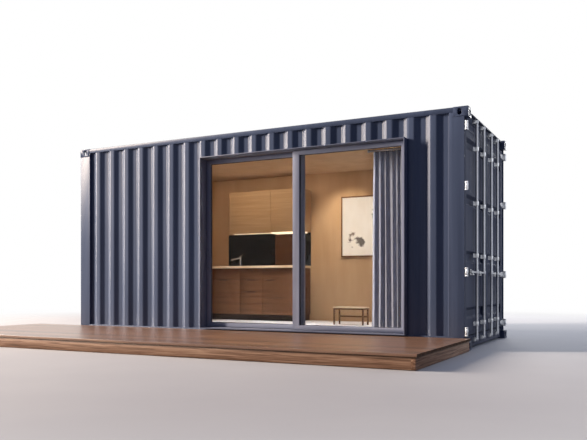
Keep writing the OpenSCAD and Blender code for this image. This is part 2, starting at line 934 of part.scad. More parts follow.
castings_base();
castings_top();
blind_end_posts();
door_end_posts();
bottom_side_rails();
top_side_rails();
blind_end_rails();
door_header();
door_sill();
floor_cross_members();
floor_plywood();
room_floor();
front_wall_left();
front_wall_right();
front_wall_head();
back_wall();
blind_end_wall();
roof_sheet();
ceiling();
back_lining_board();
blind_end_lining();
front_lining_boards();
door_surround();
slide_tracks();
fixed_sash();
fixed_glass();
hinge_lugs();
lock_keepers();
deck_boards();
deck_joists();
deck_fascia();
kitchen_base();
kitchen_fronts();
worktop();
splashback();
wall_cabinets();
tap();
curtain_rail();
curtain();
wall_picture();
side_table();
sliding_sash();
sliding_glass();
sash_handle();
front_leaf();
front_leaf_gasket();
front_leaf_fittings();
back_leaf();
back_leaf_gasket();
back_leaf_fittings();
lock_bar_1();
lock_bar_2();
lock_bar_3();
lock_bar_4();
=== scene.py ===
import bmesh
import bpy
import json
import math
from mathutils import Matrix, Vector, noise


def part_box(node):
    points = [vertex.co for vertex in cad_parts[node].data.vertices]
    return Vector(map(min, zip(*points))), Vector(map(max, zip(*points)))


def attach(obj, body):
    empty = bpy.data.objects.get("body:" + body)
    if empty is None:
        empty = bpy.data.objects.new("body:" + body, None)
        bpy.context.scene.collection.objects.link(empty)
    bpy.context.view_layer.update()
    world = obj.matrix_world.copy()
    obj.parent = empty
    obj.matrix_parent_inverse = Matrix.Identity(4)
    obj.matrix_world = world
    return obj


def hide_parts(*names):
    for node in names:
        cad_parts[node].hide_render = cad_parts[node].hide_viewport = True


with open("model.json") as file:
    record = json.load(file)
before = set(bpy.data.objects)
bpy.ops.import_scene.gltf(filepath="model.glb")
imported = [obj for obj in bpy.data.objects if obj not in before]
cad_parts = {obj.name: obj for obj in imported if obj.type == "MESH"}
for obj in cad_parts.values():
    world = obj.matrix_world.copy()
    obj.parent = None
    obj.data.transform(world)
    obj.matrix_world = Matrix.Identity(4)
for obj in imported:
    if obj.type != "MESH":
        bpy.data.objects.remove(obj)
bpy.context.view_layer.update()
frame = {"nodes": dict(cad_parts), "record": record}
scene = bpy.context.scene
mm = 0.001

# Corners and faces of the steel box, and what the record says of each node
castingLow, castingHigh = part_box("castings_base")
blindEnd, doorEnd, backFace = castingLow.x, castingHigh.x, castingHigh.y
bodyOf = {node: body for body, nodes in frame["record"]["behaviour"]["bodies"].items() for node in nodes}


def linear(hexColour):
    parts = [int(hexColour[i:i + 2], 16) / 255 for i in (1, 3, 5)]
    return [p / 12.92 if p <= 0.04045 else ((p + 0.055) / 1.055) ** 2.4 for p in parts] + [1]


# Sets a node: a key is an input's name or number, or an option of the node. A node or socket as
# the value is linked, a hex string is a colour, and stops fill a colour ramp. A dictionary stands
# for the vector with those parts, and a tuple that starts with an operation for what it comes to
def setNode(tree, node, settings):
    for key, value in settings.items():
        if isinstance(value, dict):
            value = addNode(tree, "ShaderNodeCombineXYZ", value)
        elif isinstance(value, tuple) and isinstance(value[0], str):
            value = addNode(tree, "ShaderNodeMath", {"operation": value[0], **dict(enumerate(value[1:]))})
        if key == "stops":
            while len(node.color_ramp.elements) < len(value):
                node.color_ramp.elements.new(0.5)
            for element, (position, colour) in zip(node.color_ramp.elements, value):
                element.position = position
                element.color = linear(colour)
        elif not isinstance(key, int) and key not in node.inputs:
            setattr(node, key, value)
        elif isinstance(value, bpy.types.Node):
            tree.links.new(value.outputs[0], node.inputs[key])
        elif isinstance(value, bpy.types.NodeSocket):
            tree.links.new(value, node.inputs[key])
        elif isinstance(value, str) and value.startswith("#"):
            node.inputs[key].default_value = linear(value)
        else:
            node.inputs[key].default_value = value
    return node


def addNode(tree, kind, settings):
    return setNode(tree, tree.nodes.new(kind), settings)


def startMaterial(name, settings):
    material = bpy.data.materials.new(name)
    material.use_nodes = True
    tree = material.node_tree
    surface = setNode(tree, tree.nodes["Principled BSDF"], settings)
    place = addNode(tree, "ShaderNodeTexCoord", {}).outputs["Object"]
    return material, tree, surface, place


# Cloudy pattern whose patches have real sizes in metres along x, y and z
def patches(tree, place, size, settings=None):
    fit = addNode(tree, "ShaderNodeMapping", {"Scale": [1 / s for s in size], "Vector": place})
    return addNode(tree, "ShaderNodeTexNoise", {"Scale": 1, "Detail": 3, "Vector": fit, **(settings or {})})


# 1 for a ray of one of these kinds, and 0 for others
def raysOf(tree, *kinds):
    rays = addNode(tree, "ShaderNodeLightPath", {})
    found = rays.outputs[kinds[0]]
    for kind in kinds[1:]:
        found = ("MAXIMUM", found, rays.outputs[kind])
    return found


# The end that most finishes share: tones and a gloss that each follow a pattern, and a relief. The
# gloss goes from its first value to its second as its pattern crosses the span
def finishSurface(tree, surface, tones, gloss, relief, span=(0, 1), more=None):
    colour = addNode(tree, "ShaderNodeValToRGB", {"Fac": tones[0], "stops": tones[1]})
    rough = addNode(tree, "ShaderNodeMapRange", {
        "Value": gloss[0], "From Min": span[0], "From Max": span[1], "To Min": gloss[1], "To Max": gloss[2]})
    bump = addNode(tree, "ShaderNodeBump", {"Height": relief[0], "Distance": relief[1], **(more or {})})
    setNode(tree, surface, {"Base Color": colour, "Roughness": rough, "Normal": bump})
    return colour


# A finish with one cloudy pattern in its tones and gloss, and with a relief of its own or that one
def makeCloudyFinish(name, look, settings):
    look = {"detail": 3, "paleFrom": 0.7, "relief": None, "reliefDetail": 3, **look}
    material, tree, surface, place = startMaterial(name, settings)
    relief = cloud = patches(tree, place, look["cloud"], {"Detail": look["detail"]})
    if look["relief"]:
        relief = patches(tree, place, look["relief"], {"Detail": look["reliefDetail"]})
    finishSurface(
        tree, surface, (cloud, [(0.3, look["dark"]), (look["paleFrom"], look["pale"])]),
        (cloud, *look["gloss"]), (relief, look["depth"]))
    return material


# Alkyd enamel, sprayed on folded steel: an even slate blue with a faint orange peel, rain
# streaks down the folds and a little road dust near the ground
def makeSprayedEnamel(name, look):
    look = {
        "light": "#515d77", "dark": "#455068", "dust": "#6f6f76", "gloss": (0.28, 0.34), "shine": 0.12,
        "streak": (0.07, 0.07, 1.9), "cloud": (1.4, 1.4, 1.8), "peel": 6 * mm, "peelDepth": 0.25 * mm,
        "buckle": 0.7, "buckleDepth": 2 * mm, "dustTop": 0.55, "dustAmount": 0.3, **look}
    material, tree, surface, place = startMaterial(name, {"IOR": 1.5, "Specular IOR Level": look["shine"]})
    streaks = patches(tree, place, look["streak"], {"Detail": 5})
    clouds = patches(tree, place, look["cloud"])
    buckles = patches(tree, place, [look["buckle"]] * 3, {"Detail": 1})
    buckled = addNode(tree, "ShaderNodeBump", {"Height": buckles, "Distance": look["buckleDepth"]})
    peel = patches(tree, place, [look["peel"]] * 3)
    paint = finishSurface(
        tree, surface, (("MULTIPLY", streaks, clouds), [(0.12, look["dark"]), (0.4, look["light"])]),
        (clouds, *look["gloss"]), (peel, look["peelDepth"]), span=(0.3, 0.7), more={"Normal": buckled})
    height = addNode(tree, "ShaderNodeSeparateXYZ", {"Vector": place}).outputs["Z"]
    low = addNode(tree, "ShaderNodeMapRange", {
        "Value": height, "From Min": 0.02, "From Max": look["dustTop"], "To Min": look["dustAmount"],
        "To Max": 0})
    dusty = addNode(tree, "ShaderNodeMix", {
        "data_type": "RGBA", 0: ("MULTIPLY", low, streaks), 6: paint, 7: look["dust"]})
    setNode(tree, surface, {"Base Color": dusty.outputs[2]})
    return material


# Polyester powder coat on aluminium: finer and duller than the enamel, with a dry sanded grain
def makePowderCoat(name, light, dark):
    return makeSprayedEnamel(name, {
        "light": light, "dark": dark, "gloss": (0.4, 0.5), "shine": 0.16, "streak": (0.3, 0.3, 0.5),
        "peel": 2.2 * mm, "peelDepth": 0.12 * mm, "buckleDepth": 0.1 * mm, "dustAmount": 0.12})


# Hot-dip galvanised steel: bright zinc with crystal spangle, drawn 14 mm across so that it shows
def makeGalvanised(name, pale, grey):
    look = {"spangle": 14 * mm, "gloss": (0.4, 0.46), "runs": (0.03, 0.03, 0.3), "runDepth": 0.04 * mm}
    material, tree, surface, place = startMaterial(name, {"Metallic": 0.85})
    cells = addNode(tree, "ShaderNodeTexVoronoi", {"Vector": place, "Scale": 1 / look["spangle"]})
    chance = addNode(tree, "ShaderNodeSeparateColor", {"Color": cells.outputs["Color"]})
    finishSurface(
        tree, surface, (chance, [(0, grey), (1, pale)]), (chance.outputs[1], *look["gloss"]),
        (patches(tree, place, look["runs"]), look["runDepth"]))
    return material


# Float glass in a sealed unit, coated against reflections (so its index is low): smooth, with the
# faint waver of rolling. Shadow and diffuse rays pass straight through, so daylight reaches the room
def makeFloatGlass():
    material, tree, surface, place = startMaterial("floatGlass", {
        "Base Color": "#fbfcfc", "Roughness": 0.0, "IOR": 1.15, "Transmission Weight": 1.0})
    waver = addNode(tree, "ShaderNodeBump", {
        "Height": patches(tree, place, (0.5, 0.5, 0.9), {"Detail": 0}), "Distance": 0.4 * mm})
    setNode(tree, surface, {"Normal": waver})
    clear = addNode(tree, "ShaderNodeBsdfTransparent", {"Color": "#f6f8f8"})
    both = addNode(tree, "ShaderNodeMixShader", {
        0: raysOf(tree, "Is Shadow Ray", "Is Diffuse Ray"), 1: surface, 2: clear})
    setNode(tree, tree.nodes["Material Output"], {"Surface": both})
    return material


# Sawn or planed timber: growth-ring figure, fibre lines and a tone of its own for each board.
# Lengths run along x, or along y where it is turned. A given band of heights darkens: painted shade
def makeTimber(name, look):
    look = {
        "gloss": (0.28, 0.45), "coat": 0.0, "ring": (1.5, 0.03, 0.05), "fibre": (0.25, 3 * mm, 3 * mm),
        "fibreDepth": 0.35 * mm, "boardStart": 0.0, "boardPitch": 10.0, "boardTone": (0.75, 1.2),
        "turned": False, "shine": 0.5, "damp": None, **look}
    material, tree, surface, place = startMaterial(name, {
        "IOR": 1.45, "Specular IOR Level": look["shine"], "Coat Weight": look["coat"],
        "Coat Roughness": 0.28})
    if look["turned"]:
        place = addNode(tree, "ShaderNodeMapping", {"Vector": place, "Rotation": (0, 0, math.radians(90))})
    parts = addNode(tree, "ShaderNodeSeparateXYZ", {"Vector": place})
    inBoards = ("DIVIDE", ("SUBTRACT", parts.outputs["Y"], look["boardStart"]), look["boardPitch"])
    chance = addNode(tree, "ShaderNodeTexWhiteNoise", {"noise_dimensions": "1D", "W": ("FLOOR", inBoards)})
    shifted = addNode(tree, "ShaderNodeVectorMath", {
        "operation": "MULTIPLY_ADD", 0: chance.outputs["Color"], 1: (37, 5, 11), 2: place})
    rings = patches(tree, shifted, look["ring"], {"Detail": 4, "Distortion": 1.2})
    fibres = patches(tree, shifted, look["fibre"], {"Detail": 5, "Roughness": 0.7})
    figure = ("MULTIPLY_ADD", fibres, 0.45, rings)
    glossy, dull = look["gloss"]
    toned = finishSurface(
        tree, surface, (figure, list(zip((0.5, 0.7, 0.95), look["tones"]))), (fibres, dull, glossy),
        (figure, look["fibreDepth"]), span=(0.3, 0.7))
    amounts = [addNode(tree, "ShaderNodeMapRange", {
        "Value": chance.outputs["Value"], "To Min": look["boardTone"][0], "To Max": look["boardTone"][1]})]
    # Painted shade: the tone darkens across the band of heights, as in the shadow under a lip
    if look["damp"]:
        amounts.append(addNode(tree, "ShaderNodeMapRange", {
            "Value": parts.outputs["Z"], "From Min": look["damp"][0], "From Max": look["damp"][1],
            "To Min": 1.0, "To Max": 0.3}))
    for amount in amounts:
        toned = addNode(tree, "ShaderNodeVectorMath", {"operation": "SCALE", 0: toned, "Scale": amount})
    setNode(tree, surface, {"Base Color": toned})
    return material


# Softwood plywood: rotary-cut face figure, with its plies as lines on the edges
def makePlywood():
    look = {"pale": "#a58a63", "dark": "#7c6243", "gloss": (0.6, 0.8), "nap": 0.4 * mm, "ply": 2.8 * mm}
    material, tree, surface, place = startMaterial("floorPlywood", {})
    face = patches(tree, place, (0.5, 0.09, 0.09), {"Detail": 5, "Distortion": 2.5})
    wood = finishSurface(
        tree, surface, (face, [(0.3, look["dark"]), (0.7, look["pale"])]), (face, *look["gloss"]),
        (face, look["nap"]))
    plies = addNode(tree, "ShaderNodeTexWave", {
        "bands_direction": "Z", "Vector": place, "Scale": 2 * math.pi / 20 / look["ply"], "Distortion": 0.3})
    lined = addNode(tree, "ShaderNodeMix", {
        "data_type": "RGBA", "blend_type": "MULTIPLY", 0: 0.35, 6: wood, 7: plies.outputs["Color"]})
    setNode(tree, surface, {"Base Color": lined.outputs[2]})
    return material


# Laminate floor planks: bleached oak print under a clear wear layer, 190 mm wide with fine joints
def makeFloorPlanks():
    look = {
        "pale": "#f1eee8", "shade": "#e6e1d8", "joint": "#a39b8f", "gloss": (0.25, 0.45),
        "grain": ((0.3, "#d8d0c4"), (0.7, "#ffffff")), "plank": (1.28, 0.19), "gap": 1.5 * mm,
        "gapDepth": 0.6 * mm}
    material, tree, surface, place = startMaterial("laminatePlanks", {
        "Coat Weight": 0.15, "Coat Roughness": 0.3})
    planks = addNode(tree, "ShaderNodeTexBrick", {
        "offset": 0.37, "Vector": place, "Scale": 1, "Brick Width": look["plank"][0],
        "Row Height": look["plank"][1], "Mortar Size": look["gap"], "Mortar Smooth": 0.4, "Bias": 0.0,
        "Color1": look["pale"], "Color2": look["shade"], "Mortar": look["joint"]})
    grain = patches(tree, place, (0.5, 0.02, 0.02), {"Detail": 5})
    figure = finishSurface(
        tree, surface, (grain, look["grain"]), (grain, *look["gloss"]),
        (planks.outputs["Fac"], look["gapDepth"]), more={"invert": True})
    wood = addNode(tree, "ShaderNodeMix", {
        "data_type": "RGBA", "blend_type": "MULTIPLY", 0: 0.6, 6: planks, 7: figure})
    setNode(tree, surface, {"Base Color": wood.outputs[2]})
    return material


# High-pressure laminate worktop: a sandstone print, flecked, with a light satin texture
def makeStoneLaminate():
    look = {
        "tones": ((0.35, "#c8aa82"), (0.55, "#dcc19a"), (0.85, "#ead6b4")), "fleck": 9 * mm,
        "fleckShare": 0.3, "gloss": (0.28, 0.42), "texture": 3 * mm, "depth": 0.1 * mm}
    material, tree, surface, place = startMaterial("stoneLaminate", {"IOR": 1.5})
    flecks = addNode(tree, "ShaderNodeTexVoronoi", {"Vector": place, "Scale": 1 / look["fleck"]})
    cloud = patches(tree, place, (0.3, 0.3, 0.3), {"Detail": 6})
    flecked = ("MULTIPLY_ADD", flecks.outputs["Distance"], look["fleckShare"], cloud)
    finishSurface(
        tree, surface, (flecked, look["tones"]), (cloud, *look["gloss"]),
        (patches(tree, place, [look["texture"]] * 3), look["depth"]))
    return material


# Linen curtain cloth, plain weave: soft grey yarns with slubs. Its threads follow the sheet's own
# UV map in metres and are drawn 3 mm apart so that they show
def makeLinen():
    look = {
        "pale": "#b4b7c6", "dark": "#6b6e81", "gloss": (0.75, 0.95), "thread": 3 * mm, "depth": 0.5 * mm}
    material, tree, surface, place = startMaterial("linenCloth", {
        "Sheen Weight": 0.35, "Sheen Roughness": 0.4, "Specular IOR Level": 0.25})
    sheetUv = addNode(tree, "ShaderNodeUVMap", {"uv_map": "cloth"})
    warp, weft = [addNode(tree, "ShaderNodeTexWave", {
        "bands_direction": way, "Vector": sheetUv, "Scale": 2 * math.pi / 20 / look["thread"],
        "Distortion": 1.2, "Detail Scale": 3}).outputs["Fac"] for way in "XY"]
    weave = ("MULTIPLY", warp, weft)
    slubs = patches(tree, sheetUv, (0.004, 0.12, 1), {"Detail": 4})
    finishSurface(
        tree, surface, (("MULTIPLY_ADD", weave, 0.35, slubs), [(0.35, look["dark"]), (0.8, look["pale"])]),
        (slubs, *look["gloss"]), (weave, look["depth"]))
    return material


# Primed canvas with a plain abstract wash: warm white ground, and soft fields of grey and two browns
def makeCanvas(low, high):
    look = {
        "ground": ((0.3, "#f6f2e8"), (0.7, "#fffdf6")), "gloss": (0.7, 0.9), "weave": 3 * mm,
        "depth": 0.3 * mm, "ragged": 0.45, "edge": (0.17, 0.21), "cover": 0.9,
        # Middle across and up as shares of the canvas, radius, colour
        "washes": (
            (0.95, 0.66, 0.12, "#99a096"), (0.28, 0.36, 0.07, "#6d5b4c"), (0.42, 0.27, 0.1, "#3f352e"))}
    material, tree, surface, place = startMaterial("paintedCanvas", {"Specular IOR Level": 0.3})
    ground = patches(tree, place, (0.2, 0.2, 0.3), {"Detail": 5})
    paper = finishSurface(
        tree, surface, (ground, look["ground"]), (ground, *look["gloss"]),
        (patches(tree, place, [look["weave"]] * 3), look["depth"]))
    ragged = patches(tree, place, (0.16, 0.16, 0.12), {"Detail": 6, "Distortion": 0.6})
    for across, up, radius, colour in look["washes"]:
        middle = (low.x + across * (high.x - low.x), low.y, low.z + up * (high.z - low.z))
        away = addNode(tree, "ShaderNodeVectorMath", {"operation": "DISTANCE", 0: place, 1: middle})
        amount = addNode(tree, "ShaderNodeMapRange", {
            "Value": ("MULTIPLY_ADD", ragged, look["ragged"], away.outputs["Value"]),
            "From Min": radius + look["edge"][0], "From Max": radius + look["edge"][1],
            "To Min": look["cover"], "To Max": 0})
        paper = addNode(tree, "ShaderNodeMix", {
            "data_type": "RGBA", 0: amount, 6: paper, 7: colour}).outputs[2]
    setNode(tree, surface, {"Base Color": paper})
    return material


# Opal acrylic diffuser over a warm white light strip: it glows, and dims a little at each diode
def makeLightDiffuser():
    material, tree, surface, place = startMaterial("opalDiffuser", {
        "Base Color": "#f5ead6", "Roughness": 0.4, "Emission Strength": 1.15})
    diodes = patches(tree, place, (0.03, 1, 1), {"Detail": 0})
    glow = addNode(tree, "ShaderNodeValToRGB", {
        "Fac": diodes, "stops": [(0.2, "#ffdca6"), (0.8, "#fff1d8")]})
    setNode(tree, surface, {"Emission Color": glow})
    return material


# A mesh made of one node tree or of a ready mesh, finished by modifiers and left plain
def grow(tree=None, values=None, seed=None, steps=()):
    holder = bpy.data.objects.new("holder", seed or bpy.data.meshes.new("holder"))
    scene.collection.objects.link(holder)
    if tree:
        nodesStep = holder.modifiers.new("grow", "NODES")
        nodesStep.node_group = tree
        for item in tree.interface.items_tree:
            if item.item_type == "SOCKET" and item.in_out == "INPUT" and item.name in values:
                nodesStep[item.identifier] = values[item.name]
    for kind, settings in steps:
        step = holder.modifiers.new(kind, kind)
        for key, value in settings.items():
            setattr(step, key, value)
    graph = bpy.context.evaluated_depsgraph_get()
    mesh = bpy.data.meshes.new_from_object(holder.evaluated_get(graph), depsgraph=graph)
    bpy.data.objects.remove(holder)
    return mesh


# Starts a tree with a finish and other inputs, whose names are listed by their kind
def startTree(name, inputs):
    tree = bpy.data.node_groups.new(name, "GeometryNodeTree")
    for kind, labels in {"Geometry": ["Geometry"], **inputs, "Material": ["Finish"]}.items():
        for label in labels:
            tree.interface.new_socket(label, in_out="INPUT", socket_type="NodeSocket" + kind)
    tree.interface.new_socket("Geometry", in_out="OUTPUT", socket_type="NodeSocketGeometry")
    return tree, addNode(tree, "NodeGroupInput", {}).outputs


# Every tree ends alike: real geometry, shaded smooth where asked, in its own finish
def endTree(tree, given, shape, smooth=True):
    real = addNode(tree, "GeometryNodeRealizeInstances", {"Geometry": shape})
    shaded = addNode(tree, "GeometryNodeSetShadeSmooth", {"Geometry": real, "Shade Smooth": smooth})
    finished = addNode(tree, "GeometryNodeSetMaterial", {"Geometry": shaded, "Material": given["Finish"]})
    addNode(tree, "NodeGroupOutput", {"Geometry": finished})
    return tree


# Puts a finished mesh in the scene on its body, moved to its place where one is given, with its
# faces turned out again where the move mirrors it. It stands for the CAD nodes named
def addPiece(name, mesh, body, replaced=(), material=None, at=None):
    if at is not None:
        mesh.transform(at)
        if at.determinant() < 0:
            mesh.flip_normals()
    piece = bpy.data.objects.new(name, mesh)
    mesh.name = name
    scene.collection.objects.link(piece)
    if material:
        mesh.materials.clear()
        mesh.materials.append(material)
    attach(piece, body)
    if replaced:
        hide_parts(*replaced)
    return piece


# The CAD name back_wall gives the piece name backWall
def pieceName(node):
    first, *others = node.split("_")
    return first + "".join(word.title() for word in others)


# A piece that stands for one CAD node, on that node's body
def standIn(node, mesh, material=None, at=None):
    return addPiece(pieceName(node), mesh, bodyOf[node], [node], material, at)


# Smooth shading, but with the corners sharper than 35 degrees kept crisp
def creased(mesh):
    mesh.shade_smooth()
    mesh.set_sharp_from_angle(angle=math.radians(35))
    return mesh


# Puts the first finish on a mesh, and the second on the faces that the test picks
def setFinishes(mesh, first, second, test):
    mesh.materials.clear()
    for finish in (first, second):
        mesh.materials.append(finish)
    for polygon in mesh.polygons:
        polygon.material_index = int(test(polygon))
    return mesh


# A smooth sheet of squares, whose corners pointAt places by their shares across and along it
def gridMesh(name, columns, rows, pointAt):
    points = [pointAt(c / columns, r / rows) for r in range(rows + 1) for c in range(columns + 1)]
    corners = [r * (columns + 1) + c for r in range(rows) for c in range(columns)]
    faces = [(corner, corner + 1, corner + columns + 2, corner + columns + 1) for corner in corners]
    mesh = bpy.data.meshes.new(name)
    mesh.from_pydata(points, [], faces)
    mesh.shade_smooth()
    return mesh


def roundedEdges(radius):
    return ("BEVEL", {
        "width": radius, "segments": 2, "limit_method": "ANGLE", "angle_limit": math.radians(28),
        "harden_normals": True, "use_clamp_overlap": True})


# A merged copy of a CAD node or of some of its faces. Its flat faces are whole again, and its hard
# edges are rounded to the radius of the real ones
def roundedCopy(node, radius, keep=None):
    work = bmesh.new()
    work.from_mesh(frame["nodes"][node].data)
    bmesh.ops.remove_doubles(work, verts=work.verts, dist=0.02 * mm)
    if keep:
        away = [face for face in work.faces if not keep(face)]
        bmesh.ops.delete(work, geom=away, context="FACES")
    bmesh.ops.dissolve_limit(work, angle_limit=math.radians(0.5), verts=work.verts, edges=work.edges)
    mesh = bpy.data.meshes.new(node)
    work.to_mesh(mesh)
    work.free()
    mesh.shade_smooth()
    return grow(seed=mesh, steps=[roundedEdges(radius)])


print("materials")
enamel = makeSprayedEnamel("sprayedEnamel", {})
# The cargo doors were painted over by brush, and the roof has weathered, so both are duller
brushedEnamel = makeSprayedEnamel("brushedEnamel", {
    "light": "#50566a", "dark": "#454b5c", "gloss": (0.6, 0.7), "streak": (0.03, 0.03, 0.6)})
powderCoat = makePowderCoat("darkPowderCoat", "#6d7489", "#60677b")
sashCoat = makePowderCoat("greyPowderCoat", "#8b91a4", "#7d8397")
galvanised = makeGalvanised("galvanisedSteel", "#cfd1d6", "#c0c3c9")
# The bars and what turns on them have weathered to a duller grey
weatheredZinc = makeGalvanised("weatheredZinc", "#a9acb4", "#9a9da6")
# Extruded synthetic rubber: near black and dull, with a bloom of grey along it
sealRubber = makeCloudyFinish("extrudedRubber", {
    "cloud": (0.05, 0.05, 0.3), "detail": 4, "dark": "#141517", "pale": "#26272a", "paleFrom": 0.75,
    "gloss": (0.6, 0.85), "relief": [1.5 * mm] * 3, "depth": 0.15 * mm}, {"Specular IOR Level": 0.3})
floatGlass = makeFloatGlass()
deckLow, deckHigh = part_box("deck_boards")
deckLayout = {"boards": 15, "gap": 5 * mm, "arris": 3 * mm, "lift": 0.5 * mm}
deckPitch = (deckHigh.y - deckLow.y + deckLayout["gap"]) / deckLayout["boards"]
# Oiled hardwood decking: warm brown with a soft gloss, each board its own tone
deckTimber = makeTimber("oiledDecking", {
    "tones": ("#604434", "#856048", "#a78365"), "boardStart": deckLow.y - deckLayout["gap"] / 2,
    "boardPitch": deckPitch, "boardTone": (0.6, 1.22), "coat": 0.6})
# The end grain of those boards: dark, dull and short in its figure
endGrain = makeTimber("sawnEndGrain", {
    "tones": ("#3a2a20", "#553f31", "#6d5442"), "gloss": (0.75, 0.9), "shine": 0.1,
    "ring": (0.02, 0.03, 0.012), "fibre": (3 * mm, 3 * mm, 3 * mm), "fibreDepth": 0.8 * mm})
# The same timber sawn and less oiled, paler and with a stronger figure, for the deck's edges
sawnEdge = {
    "tones": ("#533928", "#8e6951", "#b9957a"), "gloss": (0.45, 0.65), "ring": (0.7, 0.05, 0.018),
    "fibre": (0.16, 3 * mm, 3 * mm), "fibreDepth": 0.6 * mm, "shine": 0.25,
    # Painted shadow: darker just below the deck boards' lip
    "damp": (deckLow.z - 22 * mm, deckLow.z - 4 * mm)}
fasciaTimber = makeTimber("sawnFascia", sawnEdge)
sideTimber = makeTimber("sawnSideBoards", {**sawnEdge, "turned": True})
# Pressure-treated softwood bearers: dull straw brown with a green cast
joistTimber = makeTimber("treatedBearers", {
    "tones": ("#5d5136", "#857550", "#a39468"), "gloss": (0.6, 0.8), "turned": True,
    "ring": (1.2, 0.02, 0.02), "fibreDepth": 0.6 * mm})
plywood = makePlywood()
floorPlanks = makeFloorPlanks()
# Emulsion paint rolled on board: warm ochre, with the stipple of the roller, drawn 5 mm across
rolledPaint = makeCloudyFinish("rolledEmulsion", {
    "cloud": (0.25, 0.25, 1.2), "detail": 4, "dark": "#b4926a", "pale": "#c5a37d",
    "gloss": (0.55, 0.75), "relief": [5 * mm] * 3, "depth": 0.3 * mm}, {"Specular IOR Level": 0.35})
# Walnut veneer on the base units and lighter ash on the wall cabinets, both under satin lacquer
veneer = {
    "gloss": (0.35, 0.5), "boardTone": (1, 1), "ring": (0.9, 0.1, 0.035),
    "fibre": (0.2, 2 * mm, 2 * mm), "fibreDepth": 0.12 * mm}
walnutVeneer = makeTimber("walnutVeneer", {
    **veneer, "tones": ("#4b301e", "#5d3d27", "#6c4930"), "shine": 0.1})
ashVeneer = makeTimber("ashVeneer", {**veneer, "tones": ("#a4855f", "#ae8f69", "#bb9d77"), "shine": 0.15})
# Solid oak: pale for the table's top, and stained dark for its legs and the picture's frame
oak = {
    "gloss": (0.4, 0.55), "boardTone": (1, 1), "ring": (0.5, 0.03, 0.02),
    "fibre": (0.12, 2 * mm, 2 * mm), "fibreDepth": 0.15 * mm}
paleOak = makeTimber("paleOak", {**oak, "tones": ("#b79a72", "#d6bd94", "#ead7b4")})
darkOak = makeTimber("stainedOak", {**oak, "tones": ("#4a3120", "#6b4930", "#84603f"), "shine": 0.1})
# Timber finished near black on the carcasses' front faces: painted shade in the joints and on the plinth
paintedJointShade = makeTimber("paintedJointShade", {
    **oak, "tones": ("#1c1410", "#2a1e17", "#352820"), "gloss": (0.6, 0.75), "shine": 0.1,
    "fibreDepth": 0.1 * mm})
stoneLaminate = makeStoneLaminate()
# Back-painted toughened glass: deep black under a polished face, with slight roller wave
blackGlass = makeCloudyFinish("backPaintedGlass", {
    "cloud": (0.4, 0.4, 0.4), "dark": "#0b0a0a", "pale": "#161415", "gloss": (0.06, 0.14),
    "relief": (0.2, 0.2, 0.3), "reliefDetail": 0, "depth": 0.3 * mm},
    {"Specular IOR Level": 0.15, "Coat Weight": 0.15, "Coat Roughness": 0.03})
# Chromium plate on turned brass: mirror bright, with the faintest waver
chrome = makeCloudyFinish("chromiumPlate", {
    "cloud": (0.05, 0.05, 0.05), "detail": 5, "dark": "#cfd1d3", "pale": "#e4e5e6", "gloss": (0.05, 0.12),
    "depth": 0.05 * mm}, {"Metallic": 1.0})
# Drawn aluminium on the curtain rail: satin lines along it
drawnRail = makeCloudyFinish("drawnAluminium", {
    "cloud": (0.3, 1 * mm, 1 * mm), "detail": 5, "dark": "#85858b", "pale": "#a5a5aa", "gloss": (0.3, 0.45),
    "depth": 0.05 * mm}, {"Metallic": 1.0})
linen = makeLinen()
diffuser = makeLightDiffuser()

print("steel frame and other carried-over nodes")
# Nodes by their finish, each with the radius of its edges in mm
carried = (
    (enamel, {
        "castings_base": 5, "castings_top": 5, "blind_end_posts": 4, "door_end_posts": 4,
        "bottom_side_rails": 3, "top_side_rails": 5, "blind_end_rails": 4, "floor_cross_members": 1.5}),
    (brushedEnamel, {
        "door_header": 3, "door_sill": 4, "roof_sheet": 0.8, "front_leaf": 2.5, "back_leaf": 2.5}),
    (rolledPaint, {"ceiling": 1, "back_lining_board": 1, "blind_end_lining": 1, "front_lining_boards": 1}),
    (powderCoat, {"door_surround": 2, "sash_handle": 1}),
    (sashCoat, {"slide_tracks": 0.8, "fixed_sash": 2, "sliding_sash": 2}),
    (galvanised, {
        "hinge_lugs": 1.2, "lock_keepers": 1.5, "front_leaf_fittings": 1.2, "back_leaf_fittings": 1.2}),
    (weatheredZinc, {"lock_bar_1": 1.2, "lock_bar_2": 1.2, "lock_bar_3": 1.2, "lock_bar_4": 1.2}),
    (sealRubber, {"front_leaf_gasket": 3, "back_leaf_gasket": 3}),
    (walnutVeneer, {"kitchen_base": 1, "kitchen_fronts": 1}), (ashVeneer, {"wall_cabinets": 1}),
    (plywood, {"floor_plywood": 1.5}), (floorPlanks, {"room_floor": 1}), (joistTimber, {"deck_joists": 2}),
    (stoneLaminate, {"worktop": 3}), (blackGlass, {"splashback": 1}), (chrome, {"tap": 1}),
    (drawnRail, {"curtain_rail": 1}))
for finish, nodes in carried:
    for node, radius in nodes.items():
        standIn(node, roundedCopy(node, radius * mm), finish)

# Painted shade on the carcasses' front faces, dark in the joints: on all of the base units', and
# on those of the wall cabinets that lie behind their flaps
for name, setBack in (("kitchenBase", 0.0), ("wallCabinets", 12 * mm)):
    carcass = bpy.data.objects[name].data
    frontEdge = min(vertex.co.y for vertex in carcass.vertices) + setBack - 1 * mm
    setFinishes(carcass, carcass.materials[0], paintedJointShade,
                lambda polygon: polygon.normal.y < -0.9 and polygon.center.y > frontEdge)


